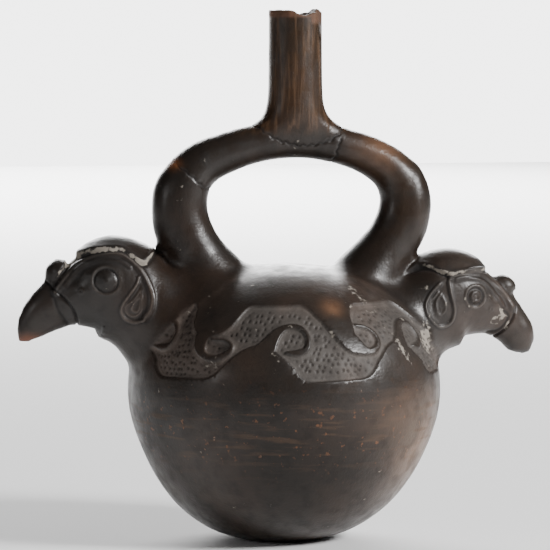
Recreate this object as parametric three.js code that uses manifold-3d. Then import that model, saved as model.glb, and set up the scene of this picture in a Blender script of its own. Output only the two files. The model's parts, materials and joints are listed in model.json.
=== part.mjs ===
// Double bird-headed stirrup spout vessel: one hollow fired-clay piece, open only at the broken mouth of its spout.
// Millimetres, +Z up. The origin is the centre of the flat base. The stirrup and both heads lie in the XZ plane,
// and the carved shoulder is seen best from -Y.
import * as THREE from "three";
import { mergeVertices } from "three/addons/utils/BufferGeometryUtils.js";
import Module from "manifold-3d";

const wasm = await Module();
wasm.setup();

// ---------------------------------------------------------------- driving dimensions

const RIM_HEIGHT = 229; // top of the spout's broken wall above the base
const BASE_RADIUS = 17.5;
const BODY_CENTRE_Z = 64; // height of the widest ring
const BODY_WALL = 5;
const TUBE_WALL = 4.2;
const LEG_BORE = 7.4; // the widest that the stirrup's inside gets, at its roots
const HEAD_WALL = 5;
const CHIN_WALL = 1.6; // how much more clay there is above and below a head's hollow

// Outer profile of the body as radius and height, from the edge of the flat base to the crown.
const BODY_PROFILE = [
  [BASE_RADIUS, 0],
  [32, 4.9],
  [45.6, 14.6],
  [55.8, 27.6],
  [62.9, 42],
  [67, 55],
  [68, 66],
  [66.8, 77],
  [62.6, 88],
  [55.2, 98.4],
  [44, 107.8],
  [28.6, 115.6],
  [13, 119],
  [0, 119.5],
];
const BASE_LEAN = -1.6; // the foot sits this far west of the body's axis
const LEAN_HEIGHT = 45; // and the lean dies out at this height

// The stirrup's centre line from the west leg's root to the east leg's root, with the tube's radius at each point.
const STIRRUP = [
  { x: -28, z: 103, radius: 20 },
  { x: -34, z: 114.5, radius: 16 },
  { x: -39, z: 123.5, radius: 13.1 },
  { x: -43, z: 132, radius: 12.2 },
  { x: -45.4, z: 142, radius: 11.6 },
  { x: -44.4, z: 152.8, radius: 11.2 },
  { x: -38.2, z: 161.8, radius: 9.9 },
  { x: -27.5, z: 167.2, radius: 8.9 },
  { x: -12, z: 171.8, radius: 8.2 },
  { x: 6, z: 173.4, radius: 8 },
  { x: 24, z: 170.8, radius: 8 },
  { x: 38.5, z: 165.8, radius: 8.6 },
  { x: 48.6, z: 158.8, radius: 9.5 },
  { x: 53.4, z: 149, radius: 10.5 },
  { x: 52.5, z: 138.5, radius: 11 },
  { x: 47.9, z: 129, radius: 11.2 },
  { x: 42.6, z: 121, radius: 12.8 },
  { x: 37.4, z: 112.5, radius: 15.8 },
  { x: 32, z: 102, radius: 19 },
];

// Spout: a straight pipe on the arch, flaring into it. Half widths along X and Y at each height.
const SPOUT_X = 5;
const SPOUT_BORE = 7.1;
const SPOUT = [
  { z: 170, wide: 32, deep: 6.5 },
  { z: 175.5, wide: 27.6, deep: 8.6 },
  { z: 178.6, wide: 21.3, deep: 9.9 },
  { z: 182, wide: 15.9, deep: 10.8 },
  { z: 187, wide: 12.9, deep: 11.3 },
  { z: 194, wide: 11.9, deep: 11.3 },
  { z: 212, wide: 11.6, deep: 11.2 },
  { z: RIM_HEIGHT + 2, wide: 11.5, deep: 11.2 },
];

// A bird's head faces +X: skull and neck, then the hooked beak. Each section is centred at x, z, stands square to the
// line through its neighbours, and has a half height and a half width.
const SKULL = [
  { x: 38, z: 91, tall: 30, wide: 31 },
  { x: 50.8, z: 94.8, tall: 26.2, wide: 24.5 },
  { x: 61.8, z: 101.9, tall: 21.5, wide: 20 },
  { x: 72.6, z: 109.2, tall: 21.4, wide: 18.4 },
  { x: 80.8, z: 110.8, tall: 18.7, wide: 16.9 },
  { x: 88, z: 108, tall: 14.8, wide: 14.2 },
  { x: 94.4, z: 105.2, tall: 11.9, wide: 11 },
  { x: 98.6, z: 103.4, tall: 9.6, wide: 8.4 },
  { x: 100.4, z: 102.2, tall: 5, wide: 4.4 },
];
const BEAK = [
  { x: 88, z: 109, tall: 7.5, wide: 6.5 },
  { x: 95.4, z: 105.8, tall: 11, wide: 8.2 },
  { x: 101.8, z: 101.8, tall: 10.4, wide: 7.6 },
  { x: 107.8, z: 97, tall: 8.2, wide: 5.6 },
  { x: 112.1, z: 92.4, tall: 5.9, wide: 3.9 },
  { x: 114.4, z: 88.8, tall: 3.3, wide: 2.5 },
  { x: 115, z: 87, tall: 1.1, wide: 0.9 },
];
const SKULL_HOLLOW_SECTIONS = 7; // the skull's inside stops before the beak, which is solid
const KNOB = { x: 99.4, z: 116.4, radius: 5.5, long: 1, wide: 1.12, high: 1 };

// Carving on both cheeks of a head, in the same plane as the sections.
const EYE = { ring: 5, inside: 3.9, boss: 2.3 };
const EAR = { half: 6.1, rim: 1.4 };
const CAP_EDGE = [
  [103, 113],
  [94, 120.4],
  [86.6, 124.9],
  [78.5, 127],
  [71.4, 125.8],
  [66.4, 120.4],
  [59.5, 123.6],
  [50, 127],
];
const BROW = [
  [101, 110],
  [92.2, 118.4],
  [83.8, 123.3],
  [76, 124.6],
  [69.4, 121.6],
  [64.4, 114.6],
  [61.4, 105],
  [62.6, 97],
  [66.6, 92.6],
];
const RAISED = 0.9; // how far the carving on the heads stands out

// The east head sits lower on the shoulder than the west one, is a little smaller, and its beak is shorter.
const NAPE = { x: 60, z: 122 }; // heads are sized about this point
const HEADS = [
  {
    turn: Math.PI, size: 1, nod: 0, up: 0.4, beakReach: 0.99,
    eye: { x: 81, z: 114 }, ear: { x: 69.8, bottom: 95.2, top: 115 },
  },
  {
    turn: 0, size: 0.96, nod: 0.07, up: -5.4, beakReach: 0.95,
    eye: { x: 83.6, z: 111.5 }, ear: { x: 67.4, bottom: 97, top: 117.6 },
  },
];

// Carved shoulder: a sunk band in which tongues rise from below and hang from above, six of each, like running waves.
// Places are degrees round the body from its front and heights, with the tongue's half width in millimetres.
const WAVES = 6;
const BAND = { bottom: 74, top: 105, depth: 1.3 };
const WAVE_START = -12; // turns the whole band round the body
const MM_PER_DEGREE = 1.08;
const RISING_TONGUE = [
  { turn: -10, z: 67, half: 20 },
  { turn: -10, z: 77, half: 12.4 },
  { turn: -9, z: 83.3, half: 6.3 },
  { turn: -6.4, z: 89, half: 3.6 },
  { turn: -2.8, z: 94.5, half: 2 },
  { turn: 1.7, z: 96.9, half: 1.1 },
  { turn: 7.1, z: 96.5, half: 1 },
  { turn: 9.8, z: 92.6, half: 0.9 },
  { turn: 8.7, z: 88, half: 1.1 },
  { turn: 5, z: 86.4, half: 1.3 },
  { turn: 0.8, z: 86.7, half: 0.4 },
];
// Hanging tongues take turns: one whose curl closes round an island of ground, then one whose curl stays open.
const CLOSED_TONGUE = [
  { turn: 23.2, z: 109, half: 12 },
  { turn: 24, z: 103, half: 8.8 },
  { turn: 25.9, z: 93.4, half: 5 },
  { turn: 28.6, z: 89.4, half: 4.1 },
  { turn: 33.6, z: 86.4, half: 1.7 },
  { turn: 37.5, z: 86.6, half: 1.4 },
  { turn: 40.6, z: 89.6, half: 1.1 },
  { turn: 40.2, z: 93.4, half: 1 },
  { turn: 37, z: 96, half: 0.7 },
  { turn: 32, z: 97, half: 0.7 },
];
const OPEN_TONGUE = [
  { turn: 27, z: 109, half: 17 },
  { turn: 27, z: 99, half: 7.6 },
  { turn: 24.9, z: 93.9, half: 4.4 },
  { turn: 25.1, z: 88.6, half: 2.9 },
  { turn: 27.6, z: 84.9, half: 1.5 },
  { turn: 32.5, z: 83.5, half: 1.4 },
  { turn: 37.3, z: 85.4, half: 1.3 },
  { turn: 39.1, z: 88.6, half: 0.9 },
  { turn: 36, z: 91, half: 0.7 },
  { turn: 29.6, z: 91.2, half: 0.5 },
];
const HANGING_TONGUES = [CLOSED_TONGUE, OPEN_TONGUE];

// The broken mouth: the lost wall above the rim line as seen from the front, and a scoop off the front east side.
const BROKEN_RIM = [
  [-8, 0.2],
  [-3.4, 0.1],
  [-1, -1.3],
  [2.4, -1.9],
  [5, -1],
  [7.4, -0.6],
  [9.2, 0.8],
  [12, -1.4],
  [15, -3.6],
  [20, -4.6],
];
const CHIP = { x: 12.2, y: -6.6, z: 229, long: 4.6, deep: 4.8, high: 15, turn: 0.9 };

const BODY_SIDES = 32;
const BODY_ROWS = 13;
const INSIDE_SIDES = 16;
const INSIDE_ROWS = 8;
const TUBE_SIDES = 16;
const TUBE_STEPS = 22;
const SPOUT_STEPS = 9;
const BEAK_STEPS = 7;
const BAND_ROWS = 3;
const BORE_SIDES = 8;
const BORE_STEPS = 13;
const HEAD_SIDES = 14;
const HEAD_STEPS = 10;
const TONGUE_STEPS = 11;
const RELIEF_DEPTH_Y = 40; // half depth of the prisms that carve both cheeks at once

// ---------------------------------------------------------------- solids from three.js geometry

function solid(geometry) {
  const bare = geometry.index ? geometry.clone() : geometry;
  bare.deleteAttribute("normal");
  bare.deleteAttribute("uv");
  const merged = mergeVertices(bare, 1e-4);
  return new wasm.Manifold(
    new wasm.Mesh({
      numProp: 3,
      vertProperties: new Float32Array(merged.attributes.position.array),
      triVerts: new Uint32Array(merged.index.array),
    }),
  );
}

// Shifts the foot of the body sideways, more the lower down.
function leaned(vertex) {
  const share = Math.max(1 - vertex.z / LEAN_HEIGHT, 0);
  return new THREE.Vector3(vertex.x + BASE_LEAN * share * share, vertex.y, vertex.z);
}

const join = (solids) => solids.reduce((all, one) => all.add(one));

// Moves every vertex of a geometry to where place(vertex) says.
function reshape(geometry, place) {
  const at = geometry.attributes.position;
  const vertex = new THREE.Vector3();
  for (let i = 0; i < at.count; i++) {
    vertex.fromBufferAttribute(at, i);
    const moved = place(vertex);
    at.setXYZ(i, moved.x, moved.y, moved.z);
  }
  return geometry;
}

// A closed tube of elliptical sections whose centre line stays in the XZ plane: a cylinder bent along the line.
function loft(sections, sides, steps) {
  const line = new THREE.CatmullRomCurve3(sections.map((s) => new THREE.Vector3(s.x, 0, s.z)), false, "centripetal");
  const sizes = new THREE.CatmullRomCurve3(
    sections.map((s) => new THREE.Vector3(s.tall, s.wide, 0)),
    false,
    "catmullrom",
    0.5,
  );
  const side = new THREE.Vector3(0, 1, 0);
  return solid(
    reshape(new THREE.CylinderGeometry(1, 1, 1, sides, steps), (v) => {
      const along = THREE.MathUtils.clamp(0.5 - v.y, 0, 1);
      const up = new THREE.Vector3().crossVectors(line.getTangent(along), side);
      const size = sizes.getPoint(along);
      return line
        .getPoint(along)
        .addScaledVector(side, v.x * size.y)
        .addScaledVector(up, v.z * size.x);
    }),
  );
}

// The same sections, grown outwards or, below zero, shrunk inwards.
const grown = (sections, by) =>
  sections.map((s) => ({ ...s, tall: Math.max(s.tall + by, 0.5), wide: Math.max(s.wide + by, 0.5) }));

function ball({ x, z, radius, long, wide, high }) {
  const sphere = new THREE.SphereGeometry(radius, 10, 6);
  sphere.scale(long, wide, high);
  sphere.translate(x, 0, z);
  return solid(sphere);
}

// A prism through the whole head from an outline in the XZ plane.
function prism(shape, curveSegments = 3) {
  const extruded = new THREE.ExtrudeGeometry(shape, { depth: 2 * RELIEF_DEPTH_Y, bevelEnabled: false, curveSegments });
  extruded.rotateX(Math.PI / 2);
  extruded.translate(0, RELIEF_DEPTH_Y, 0);
  return solid(extruded);
}

const smoothLine = (points, count) =>
  new THREE.SplineCurve(points.map(([x, y]) => new THREE.Vector2(x, y))).getPoints(count);

// The outline of a strip along a line of 2-D points, whose half width is half(share of the way along).
function stripShape(line, half) {
  const left = [];
  const right = [];
  line.forEach((point, i) => {
    const ahead = line[Math.min(i + 1, line.length - 1)];
    const behind = line[Math.max(i - 1, 0)];
    const along = ahead.clone().sub(behind).normalize();
    const off = new THREE.Vector2(-along.y, along.x).multiplyScalar(half(i / (line.length - 1)));
    left.push(point.clone().add(off));
    right.push(point.clone().sub(off));
  });
  return new THREE.Shape([...right, ...left.reverse()]);
}

// ---------------------------------------------------------------- body and its carved shoulder

const bodyLine = new THREE.SplineCurve(BODY_PROFILE.map(([r, z]) => new THREE.Vector2(r, z)));

// The body's profile, moved inwards by the given amount, as points from the axis below to the axis above.
function bodyProfile(inset, rows) {
  const points = [];
  for (let i = 0; i <= rows; i++) {
    const at = bodyLine.getPoint(i / rows);
    const along = bodyLine.getTangent(i / rows);
    points.push(new THREE.Vector2(Math.max(at.x - along.y * inset, 0), at.y + along.x * inset));
  }
  points[0].y = inset; // the floor is flat
  points[rows].x = 0;
  return [new THREE.Vector2(0, inset), ...points];
}

function lathe(points, sides) {
  const turned = new THREE.LatheGeometry(points, sides);
  turned.rotateX(Math.PI / 2);
  return solid(reshape(turned, leaned));
}

function bodyRadius(z) {
  let low = 0;
  let high = 1;
  for (let i = 0; i < 30; i++) {
    const middle = (low + high) / 2;
    if (bodyLine.getPoint(middle).y < z) low = middle;
    else high = middle;
  }
  return bodyLine.getPoint(low).x;
}

// A tongue's outline wrapped round the body, as a wedge that points at the body's centre.
function tongueWedge(tongue, turn) {
  const line = new THREE.SplineCurve(
    tongue.map((p) => new THREE.Vector2((p.turn + turn) * MM_PER_DEGREE, p.z)),
  ).getPoints(TONGUE_STEPS);
  const halves = new THREE.SplineCurve(tongue.map((p, i) => new THREE.Vector2(i, p.half)));
  const shape = stripShape(line, (share) => halves.getPoint(share).y);
  const centre = new THREE.Vector3(0, 0, BODY_CENTRE_Z);
  const wedge = new THREE.ExtrudeGeometry(shape, { depth: 1, bevelEnabled: false });
  return solid(
    reshape(wedge, (v) => {
      const angle = THREE.MathUtils.degToRad(v.x / MM_PER_DEGREE);
      const radius = bodyRadius(v.y);
      return new THREE.Vector3(radius * Math.sin(angle), -radius * Math.cos(angle), v.y)
        .sub(centre)
        .multiplyScalar(0.8 + 0.4 * v.z)
        .add(centre);
    }),
  );
}

// The sunk ground between the tongues, as the solid to cut away.
function sunkBand() {
  const inner = [];
  const outer = [];
  for (let i = 0; i <= BAND_ROWS; i++) {
    const z = BAND.bottom + ((BAND.top - BAND.bottom) * i) / BAND_ROWS;
    const radius = bodyRadius(z);
    const slope = bodyRadius(z - 0.5) - bodyRadius(z + 0.5);
    const out = new THREE.Vector2(1, slope).normalize();
    inner.push(new THREE.Vector2(radius, z).addScaledVector(out, -BAND.depth));
    outer.push(new THREE.Vector2(radius, z).addScaledVector(out, 3));
  }
  const ring = lathe([...outer, ...inner.reverse(), outer[0]], BODY_SIDES);
  let band = ring;
  for (let wave = 0; wave < WAVES; wave++) {
    const turn = WAVE_START + (wave * 360) / WAVES;
    const hanging = HANGING_TONGUES[wave % HANGING_TONGUES.length];
    band = band.subtract(tongueWedge(RISING_TONGUE, turn)).subtract(tongueWedge(hanging, turn));
  }
  return band;
}

const carvedBody = () => lathe(bodyProfile(0, BODY_ROWS), BODY_SIDES).subtract(sunkBand());

// ---------------------------------------------------------------- heads

function earShape(ear, shrink) {
  const half = EAR.half - shrink;
  const bottom = ear.bottom + shrink;
  const top = ear.top - 2 * shrink;
  const middle = bottom + half;
  const shape = new THREE.Shape();
  shape.moveTo(ear.x - half * 0.35, top);
  shape.quadraticCurveTo(ear.x + half * 0.1, middle + half, ear.x + half, middle);
  shape.absarc(ear.x, middle, half, 0, -Math.PI, true);
  shape.quadraticCurveTo(ear.x - half, middle + half, ear.x - half * 0.35, top);
  return shape;
}

// What stands out on the cheeks: cap, brow ridge, eye ring with its boss, and ear.
function headCarving(skullSections, { eye, ear }) {
  const shell = loft(grown(skullSections, RAISED), HEAD_SIDES, HEAD_STEPS);
  const capEdge = smoothLine(CAP_EDGE, 10);
  const cap = new THREE.Shape([...capEdge, new THREE.Vector2(45, 145), new THREE.Vector2(110, 145)]);
  const brow = stripShape(smoothLine(BROW, 9), () => 0.9);
  const disc = (radius) => prism(new THREE.Shape().absarc(eye.x, eye.z, radius, 0, 2 * Math.PI, false), 5);
  const lids = disc(EYE.ring).subtract(disc(EYE.inside)).add(disc(EYE.boss));
  const ears = prism(earShape(ear, 0)).subtract(prism(earShape(ear, EAR.rim)));
  return join([prism(cap), prism(brow), lids, ears]).intersect(shell);
}

// Moves what is past the knob towards it, which shortens a beak.
const reached = (sections, reach) =>
  sections.map((s) => ({ ...s, x: s.x > BEAK[1].x ? BEAK[1].x + (s.x - BEAK[1].x) * reach : s.x }));

// Sizes a head about its nape, nods it, lifts it and turns it to its side.
function placed(part, head) {
  const matrix = new THREE.Matrix4()
    .makeRotationZ(head.turn)
    .multiply(new THREE.Matrix4().makeTranslation(NAPE.x, 0, NAPE.z + head.up))
    .multiply(new THREE.Matrix4().makeRotationY(head.nod))
    .multiply(new THREE.Matrix4().makeScale(head.size, head.size, head.size))
    .multiply(new THREE.Matrix4().makeTranslation(-NAPE.x, 0, -NAPE.z));
  return part.transform(matrix.elements);
}

function headOutside(head) {
  const parts = [
    loft(SKULL, HEAD_SIDES, HEAD_STEPS),
    loft(reached(BEAK, head.beakReach), HEAD_SIDES - 4, BEAK_STEPS),
    ball(KNOB),
    headCarving(SKULL, head),
  ];
  return placed(join(parts), head);
}

function headInside(head) {
  const sections = SKULL.slice(0, SKULL_HOLLOW_SECTIONS).map((s) => ({ ...s, tall: s.tall - CHIN_WALL }));
  return placed(loft(grown(sections, -HEAD_WALL), 10, 6), head);
}

// ---------------------------------------------------------------- stirrup and spout

const tubeSections = (radiusOf) => STIRRUP.map((s) => ({ x: s.x, z: s.z, tall: radiusOf(s), wide: radiusOf(s) }));

function spoutOutside() {
  const sections = SPOUT.map((s) => ({ x: SPOUT_X, z: s.z, tall: s.wide, wide: s.deep }));
  return loft(sections, TUBE_SIDES, SPOUT_STEPS);
}

function spoutBore() {
  const bore = new THREE.CylinderGeometry(SPOUT_BORE, SPOUT_BORE - 2.4, RIM_HEIGHT + 8 - STIRRUP[9].z, 16, 1);
  bore.rotateX(Math.PI / 2);
  bore.translate(SPOUT_X, 0, (RIM_HEIGHT + 8 + STIRRUP[9].z) / 2);
  return solid(bore);
}

// Everything that has broken away from the mouth.
function lostRim() {
  const edge = BROKEN_RIM.map(([x, z]) => new THREE.Vector2(x, RIM_HEIGHT + z));
  const above = RIM_HEIGHT + 12;
  const shape = new THREE.Shape([...edge, new THREE.Vector2(24, above), new THREE.Vector2(-12, above)]);
  const chip = new THREE.SphereGeometry(1, 10, 8);
  chip.scale(CHIP.long, CHIP.deep, CHIP.high);
  chip.rotateZ(CHIP.turn);
  chip.translate(CHIP.x + SPOUT_X, CHIP.y, CHIP.z);
  return prism(shape).add(solid(chip));
}

// ---------------------------------------------------------------- the vessel

function vesselSolid() {
  const outside = join([
    carvedBody(),
    loft(tubeSections((s) => s.radius), TUBE_SIDES, TUBE_STEPS),
    spoutOutside(),
    ...HEADS.map(headOutside),
  ]);
  const chamber = lathe(bodyProfile(BODY_WALL, INSIDE_ROWS), INSIDE_SIDES);
  const inside = join([
    chamber,
    loft(tubeSections((s) => Math.min(s.radius - TUBE_WALL, LEG_BORE)), BORE_SIDES, BORE_STEPS),
    spoutBore(),
    ...HEADS.map(headInside),
  ]);
  return outside.subtract(lostRim()).subtract(inside);
}

function meshOf(name, made, material) {
  const data = made.getMesh();
  const geometry = new THREE.BufferGeometry();
  const points = new Float32Array(data.numVert * 3);
  for (let i = 0; i < data.numVert; i++)
    points.set(data.vertProperties.subarray(i * data.numProp, i * data.numProp + 3), i * 3);
  geometry.setAttribute("position", new THREE.BufferAttribute(points, 3));
  geometry.setIndex(new THREE.BufferAttribute(new Uint32Array(data.triVerts), 1));
  geometry.computeVertexNormals();
  const mesh = new THREE.Mesh(geometry, material);
  mesh.name = name;
  return mesh;
}

const blackware = new THREE.MeshStandardMaterial({ color: 0x2e2622, roughness: 0.45, metalness: 0 });

const vessel = new THREE.Group();
vessel.add(meshOf("vessel", vesselSolid(), blackware));

export default vessel;
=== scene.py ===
import json
import math

import bpy
import numpy as np
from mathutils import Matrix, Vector

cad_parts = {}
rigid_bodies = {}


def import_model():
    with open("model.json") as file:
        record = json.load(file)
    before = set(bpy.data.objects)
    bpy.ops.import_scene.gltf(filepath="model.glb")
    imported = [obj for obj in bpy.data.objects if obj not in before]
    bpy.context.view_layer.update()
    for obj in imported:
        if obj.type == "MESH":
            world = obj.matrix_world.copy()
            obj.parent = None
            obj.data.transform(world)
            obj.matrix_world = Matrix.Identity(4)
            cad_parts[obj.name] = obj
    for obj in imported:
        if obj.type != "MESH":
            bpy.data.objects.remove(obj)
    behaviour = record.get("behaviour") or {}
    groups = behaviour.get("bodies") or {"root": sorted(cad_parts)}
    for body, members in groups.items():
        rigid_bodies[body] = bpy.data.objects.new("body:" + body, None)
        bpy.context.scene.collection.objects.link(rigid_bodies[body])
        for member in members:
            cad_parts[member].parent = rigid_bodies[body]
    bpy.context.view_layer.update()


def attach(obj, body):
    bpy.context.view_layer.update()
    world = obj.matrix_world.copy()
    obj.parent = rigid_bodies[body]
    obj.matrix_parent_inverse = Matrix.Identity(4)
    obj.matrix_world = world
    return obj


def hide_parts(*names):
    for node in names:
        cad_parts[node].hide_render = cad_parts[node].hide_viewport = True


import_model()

# Lengths are millimetres until a mesh is made, in the model's own frame: the foot's centre is the origin, the
# stirrup and both heads lie in the XZ plane, and the front is -Y.
MM = 0.001

# ---------------------------------------------------------------- sizes, as the solid's but for a wider bore

RIM_HEIGHT = 229.0
BODY_WALL = 5.0
TUBE_WALL = 4.2
LEG_BORE = 7.4
HEAD_WALL = 5.0
CHIN_WALL = 1.6
BASE_LEAN = -1.6
LEAN_HEIGHT = 45.0

# radius, height
BODY_PROFILE = [
    (17.5, 0), (32, 4.9), (45.6, 14.6), (55.8, 27.6), (62.9, 42), (67, 55), (68, 66),
    (66.8, 77), (62.6, 88), (55.2, 98.4), (44, 107.8), (28.6, 115.6), (13, 119), (0, 119.5),
]

# x, z, radius
STIRRUP = [
    (-28, 103, 20), (-34, 114.5, 16), (-39, 123.5, 13.1), (-43, 132, 12.2), (-45.4, 142, 11.6),
    (-44.4, 152.8, 11.2), (-38.2, 161.8, 9.9), (-27.5, 167.2, 8.9), (-12, 171.8, 8.2), (6, 173.4, 8),
    (24, 170.8, 8), (38.5, 165.8, 8.6), (48.6, 158.8, 9.5), (53.4, 149, 10.5), (52.5, 138.5, 11),
    (47.9, 129, 11.2), (42.6, 121, 12.8), (37.4, 112.5, 15.8), (32, 102, 19),
]

# z, half width along X, half width along Y
SPOUT_X = 5.0
SPOUT = [
    (170, 32, 6.5), (175.5, 27.6, 8.6), (178.6, 21.3, 9.9), (182, 15.9, 10.8), (187, 12.9, 11.3),
    (194, 11.9, 11.3), (212, 11.6, 11.2), (RIM_HEIGHT + 2, 11.5, 11.2),
]
BORE_TOP = 7.4
BORE_FOOT = 4.7
BORE_FOOT_Z = 173.4

# x, z, half height, half width of a head that faces +X
SKULL = [
    (38, 91, 30, 31), (50.8, 94.8, 26.2, 24.5), (61.8, 101.9, 21.5, 20), (72.6, 109.2, 21.4, 18.4),
    (80.8, 110.8, 18.7, 16.9), (88, 108, 14.8, 14.2), (94.4, 105.2, 11.9, 11), (98.6, 103.4, 9.6, 8.4),
    (100.4, 102.2, 5, 4.4),
]
BEAK = [
    (88, 109, 7.5, 6.5), (95.4, 105.8, 11, 8.2), (101.8, 101.8, 10.4, 7.6), (107.8, 97, 8.2, 5.6),
    (112.1, 92.4, 5.9, 3.9), (114.4, 88.8, 3.3, 2.5), (115, 87, 1.1, 0.9),
]
KNOB = (99.4, 116.4, 5.5)
KNOB_WIDTH = 1.12
NAPE = (60.0, 122.0)

HEADS = {
    "west": {"turn": math.pi, "size": 1.0, "nod": 0.0, "up": 0.4, "reach": 0.99},
    "east": {"turn": 0.0, "size": 0.96, "nod": 0.07, "up": -5.4, "reach": 0.95},
}

# The lost wall above the rim line as seen from the front, as x from the spout's axis and z from the rim.
BROKEN_RIM = [
    (-20, 0.4), (-8, 0.2), (-3.4, 0.1), (-1, -1.3), (2.4, -1.9), (5, -1), (7.4, -0.6), (9.2, 0.8),
    (12, -1.4), (15, -3.6), (20, -4.6),
]
CHIP_PLACE = (12.2, -6.6, 229.0)
CHIP_HALF = (4.6, 4.8, 15.0)
CHIP_TURN = 0.9

# ---------------------------------------------------------------- carving

WAVE_START = -12.0
WAVE_DEGREES = 60
BAND_BOTTOM = 74.0
BAND_SLOPE = 2.5
BAND_TOP = 105.0
BAND_DEPTH = 1.25
BAND_ROUNDING = 6.0
BAND_GRID = 0.3
HEAD_GRID = 0.25
PIT_ROW = 2.5
PIT_STEP = 2.8
PIT_DEPTH = 0.5
RIM_LIFT = 0.2
CAP_LIFT = 0.9
HEAD_RELIEF = 1.25
CRACK_DEPTH = 0.45
CRACK_HALF = 0.45

# degrees round the body from the front, height, half width
RISING_TONGUE = [
    (-10, 67, 20), (-10, 77, 12.4), (-9, 83.3, 6.3), (-6.4, 89, 3.6), (-2.8, 94.5, 2), (1.7, 96.9, 1.1),
    (7.1, 96.5, 1), (9.8, 92.6, 0.9), (8.7, 88, 1.1), (5, 86.4, 1.3), (0.8, 86.7, 0.4),
]
# Hanging tongues take turns: one curl closes round an island of ground, the next stays open.
CLOSED_TONGUE = [
    (23.2, 109, 12), (24, 103, 8.8), (25.9, 93.4, 5), (28.6, 89.4, 4.1), (33.6, 86.4, 1.7),
    (37.5, 86.6, 1.4), (40.6, 89.6, 1.1), (40.2, 93.4, 1), (37, 96, 0.7), (32, 97, 0.7),
]
OPEN_TONGUE = [
    (27, 109, 17), (27, 99, 7.6), (24.9, 93.9, 4.4), (25.1, 88.6, 2.9), (27.6, 84.9, 1.5),
    (32.5, 83.5, 1.4), (37.3, 85.4, 1.3), (39.1, 88.6, 0.9), (36, 91, 0.7), (29.6, 91.2, 0.5),
]
MM_PER_DEGREE = 1.08

# x, z in the head's own frame
CARVING = {
    "west": {
        "cap": [(103, 112.6), (98.6, 117.6), (93.8, 121.6), (88.7, 124.4), (83.5, 125.9), (77.7, 126.4),
                (73.2, 126), (69, 123.1), (65.4, 120.6), (61, 122.9), (57.6, 125.2), (52, 127)],
        "strap": [(101.4, 108.6), (99.7, 110.8), (96.9, 114.4), (92.9, 118.7), (87.1, 122.7), (80.8, 124.8),
                  (74.7, 125), (71, 123.3), (67.6, 120.3), (64.6, 116), (62.3, 110.5), (61.5, 106),
                  (62.6, 100.9), (65, 97.7)],
        "brow": [(97.6, 110.6), (94.7, 115), (89.3, 119.8), (82.2, 122.4), (75.1, 122), (70.5, 119.6)],
        "ear": [(67, 115.2), (67.6, 113.4), (68.8, 111.2), (71.4, 107.8), (73.9, 104.1), (74.6, 100.9),
                (72.9, 97.6), (69.2, 96), (65, 97)],
        "petals": [
            [(66.6, 109.6), (69.6, 105.6), (72.6, 103.1), (72.7, 100.4), (69.9, 98.5), (66.9, 100.2),
             (65.9, 104.1), (66.6, 109.6)],
            [(66.8, 107.4), (69.6, 103.9), (70.3, 101.5), (68.2, 100.6), (66.9, 103), (66.8, 107.4)],
        ],
        "creases": [
            [(104.6, 112.8), (102.1, 110.2), (98, 106.2), (94.3, 101.5), (91.6, 95.6), (91, 92)],
            [(102.6, 108.4), (101, 102.4), (98.6, 98.6), (95.9, 95.2)],
        ],
        "cap_end": (98, 104),
        "eye": (81.0, 114.0),
        "nostril": (91.2, 109.4),
        "pressed": [(94, 114.2, 3.2, -0.8)],
    },
    "east": {
        "cap": [(96, 123.6), (90.4, 123.2), (86.4, 122.6), (82, 122.1), (76, 121.6), (71, 120.3),
                (68, 121.2), (64, 122.7), (60.1, 123.1), (57.1, 122.2), (50, 119)],
        "strap": [(104, 107.4), (101.2, 111.3), (97.2, 115.4), (93, 119), (88.4, 121.8), (83.4, 122.3),
                  (77, 121), (71.6, 119.4)],
        "brow": [(99.1, 107.6), (96.1, 111.5), (91.7, 115.8), (86.6, 119), (80, 119.6), (74, 118.4)],
        "ear": [(70.6, 118.2), (70.9, 116.2), (71.7, 112.1), (73.2, 107.8), (73.9, 104.4), (73.3, 100.4),
                (71.2, 98.1), (67.5, 97), (63.9, 98.9), (61, 102.2), (59.9, 106.4), (61.1, 109.8),
                (63.2, 112.9), (66.4, 116.4)],
        "petals": [
            [(65.6, 113), (64.2, 110.8), (62.1, 108.4), (61.9, 105.2), (63.4, 101.6), (66.4, 99.2)],
            [(66.8, 112), (64.9, 108.4), (65.3, 104.9), (66.8, 102.3), (69.3, 104.6), (69.1, 108.1),
             (67.4, 111)],
        ],
        "creases": [
            [(105.6, 107), (104.4, 102.1), (102.8, 99.3), (100.6, 96.1), (97.6, 93.2), (95, 91)],
            [(97.5, 105.9), (101.2, 104.6), (102, 102), (100.1, 98.3), (97.6, 95.9), (93.9, 95)],
        ],
        "cap_end": (88, 93),
        "eye": (83.6, 111.5),
        "nostril": (92.5, 106),
        "pressed": [(94, 112.4, 2.6, -0.5)],
    },
}
EYE_RING = 5.0
RAISED_LINES = {"strap": (1.1, 0.75), "brow": (0.55, 0.4), "ear": (0.5, 0.5)}  # half width, height
CREASE_CUTS = ((0.75, 0.5), (0.35, 0.8))  # depth, half width
WEST_DEPOSIT = (93.6, 120.6)
EAST_DEPOSIT = [(92, 113), (97, 107), (99, 103), (97, 99), (93, 101), (99, 103), (103, 102), (101, 97)]

# Repaired breaks, as x and z of lines on the pipe, the same on both sides.
CRACKS = [
    [(-17, 181), (-14.8, 179.3), (-8.7, 176), (-2.2, 172.6), (5, 170.8), (12, 171.2), (19.1, 173.3),
     (24, 176.6), (27, 179)],
    [(23.6, 173.6), (21.8, 168.5), (21, 162)],
    [(-50.5, 166), (-49, 163.2), (-44.1, 160.1), (-37.4, 154), (-31, 150)],
]

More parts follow.
